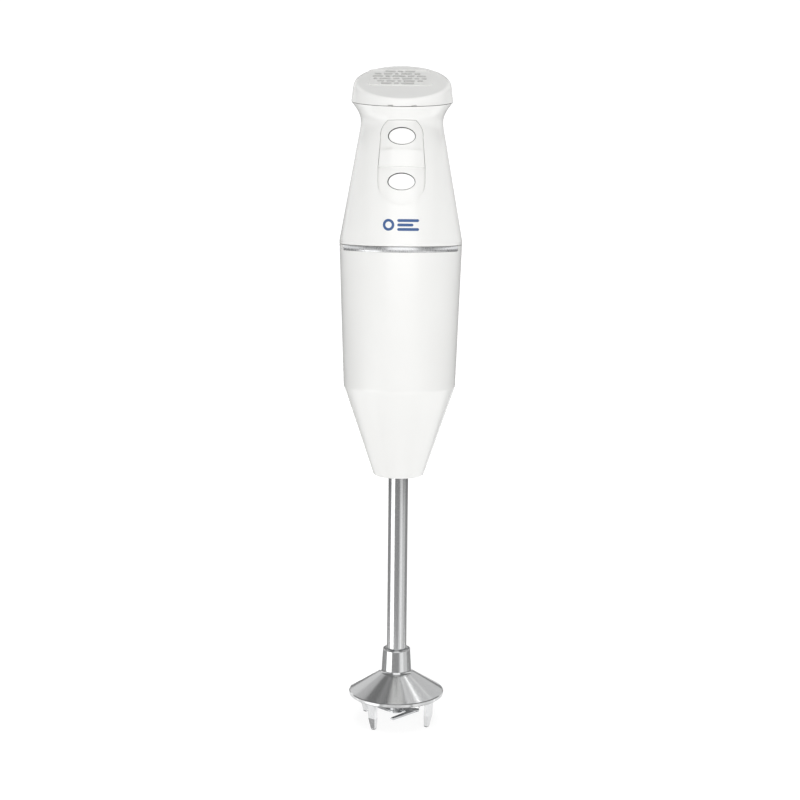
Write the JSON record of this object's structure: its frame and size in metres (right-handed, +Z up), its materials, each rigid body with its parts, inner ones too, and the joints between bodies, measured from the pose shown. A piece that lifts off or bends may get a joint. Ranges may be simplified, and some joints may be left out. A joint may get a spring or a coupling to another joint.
{
  "type": "immersion blender",
  "caption": "Slim hand-held immersion blender: tapered two-shell handle with oval push buttons, steel shaft, clawed bell guard and pull-off blade.",
  "frame": {"origin": "on the drive axis, in the plane of the claw tips that the blender stands on", "axes": "+Z up along the drive axis, the front with the buttons faces -Y, the mains cord enters at +Y"},
  "size_m": [0.065, 0.065, 0.357],
  "materials": {
    "white_plastic": "gloss",
    "button_plastic": "satin",
    "chrome_trim": "polished",
    "polished_steel": "polished",
    "blade_steel": "ground",
    "turned_steel": "turned",
    "sintered_bronze": "matt",
    "black_rubber": "matt",
    "gland_rubber": "matt",
    "zinc_screw": "plated",
    "inner_plastic": "matt",
    "spring_steel": "bright",
    "switch_plastic": "matt",
    "plunger_plastic": "matt",
    "circuit_board": "satin",
    "capacitor_case": "satin",
    "component_epoxy": "gloss",
    "lamination_steel": "laminated",
    "enamelled_copper": "varnished",
    "commutator_copper": "worn",
    "brass": "bright",
    "carbon": "matt",
    "lead_insulation": "satin"
  },
  "bodies": {
    "root": {"bell_guard": "polished_steel", "brush_holders": "brass", "brush_spring_left": "spring_steel", "brush_spring_right": "spring_steel", "button_plate": "white_plastic", "cap_screws": "zinc_screw", "carrier_screws": "zinc_screw", "clamp_screws": "zinc_screw", "control_board": "circuit_board", "cord_clamp": "inner_plastic", "cord_gland": "gland_rubber", "field_coil_left": "enamelled_copper", "field_coil_right": "enamelled_copper", "lower_bracket": "inner_plastic", "lower_housing": "white_plastic", "lower_shaft_bush": "sintered_bronze", "microswitch_high": "switch_plastic", "microswitch_low": "switch_plastic", "motor_bolts": "zinc_screw", "motor_bushes": "sintered_bronze", "motor_isolators": "black_rubber", "motor_leads": "lead_insulation", "motor_nuts": "zinc_screw", "rectifier_diode": "component_epoxy", "seal_retainer": "turned_steel", "shaft_seal": "black_rubber", "shaft_tube": "polished_steel", "spring_high": "spring_steel", "spring_low": "spring_steel", "stator_core": "lamination_steel", "suppression_capacitor": "capacitor_case", "switch_carrier": "inner_plastic", "top_cap": "white_plastic", "trim_strip": "chrome_trim", "tube_nut": "turned_steel", "tube_o_ring": "black_rubber", "upper_bracket": "inner_plastic", "upper_housing": "white_plastic", "upper_shaft_bush": "sintered_bronze", "varistor": "component_epoxy"},
    "rotor": {"motor_shaft": "turned_steel", "armature_core": "lamination_steel", "armature_winding": "enamelled_copper", "commutator": "commutator_copper", "cooling_fan": "inner_plastic", "thrust_washers": "turned_steel", "shaft_coupling": "turned_steel", "grub_screws": "turned_steel", "drive_shaft": "turned_steel", "shaft_clip": "turned_steel", "drive_pin": "turned_steel", "splash_disc": "turned_steel"},
    "blade": {"blade_hub": "turned_steel", "cutting_blade": "blade_steel"},
    "button_high": {"button_high": "button_plastic", "plunger_high": "plunger_plastic"},
    "button_low": {"button_low": "button_plastic", "plunger_low": "plunger_plastic"},
    "brush_left": {"brush_left": "carbon"},
    "brush_right": {"brush_right": "carbon"}
  },
  "joints": [
    {"name": "motor_spin", "type": "hinge", "parent": "root", "child": "rotor", "pos_m": [0, 0, 0.2], "axis": [0, 0, 1], "continuous": true},
    {"name": "blade_pull", "type": "slide", "parent": "rotor", "child": "blade", "axis": [0, 0, -1], "range_m": [0, 0.025]},
    {"name": "high_speed_press", "type": "slide", "parent": "root", "child": "button_high", "axis": [0, 0.985, -0.1726], "range_m": [0, 0.0016], "stiffness_N_per_m": 400, "springref_m": -0.002, "deforming": ["spring_high"]},
    {"name": "low_speed_press", "type": "slide", "parent": "root", "child": "button_low", "axis": [0, 0.985, -0.1726], "range_m": [0, 0.0016], "stiffness_N_per_m": 400, "springref_m": -0.002, "deforming": ["spring_low"]},
    {"name": "brush_left_slide", "type": "slide", "parent": "root", "child": "brush_left", "axis": [-1, 0, 0], "range_m": [0, 0.003], "stiffness_N_per_m": 100, "springref_m": -0.006, "deforming": ["brush_spring_left"]},
    {"name": "brush_right_slide", "type": "slide", "parent": "root", "child": "brush_right", "axis": [1, 0, 0], "range_m": [0, 0.003], "stiffness_N_per_m": 100, "springref_m": -0.006, "deforming": ["brush_spring_right"]}
  ]
}
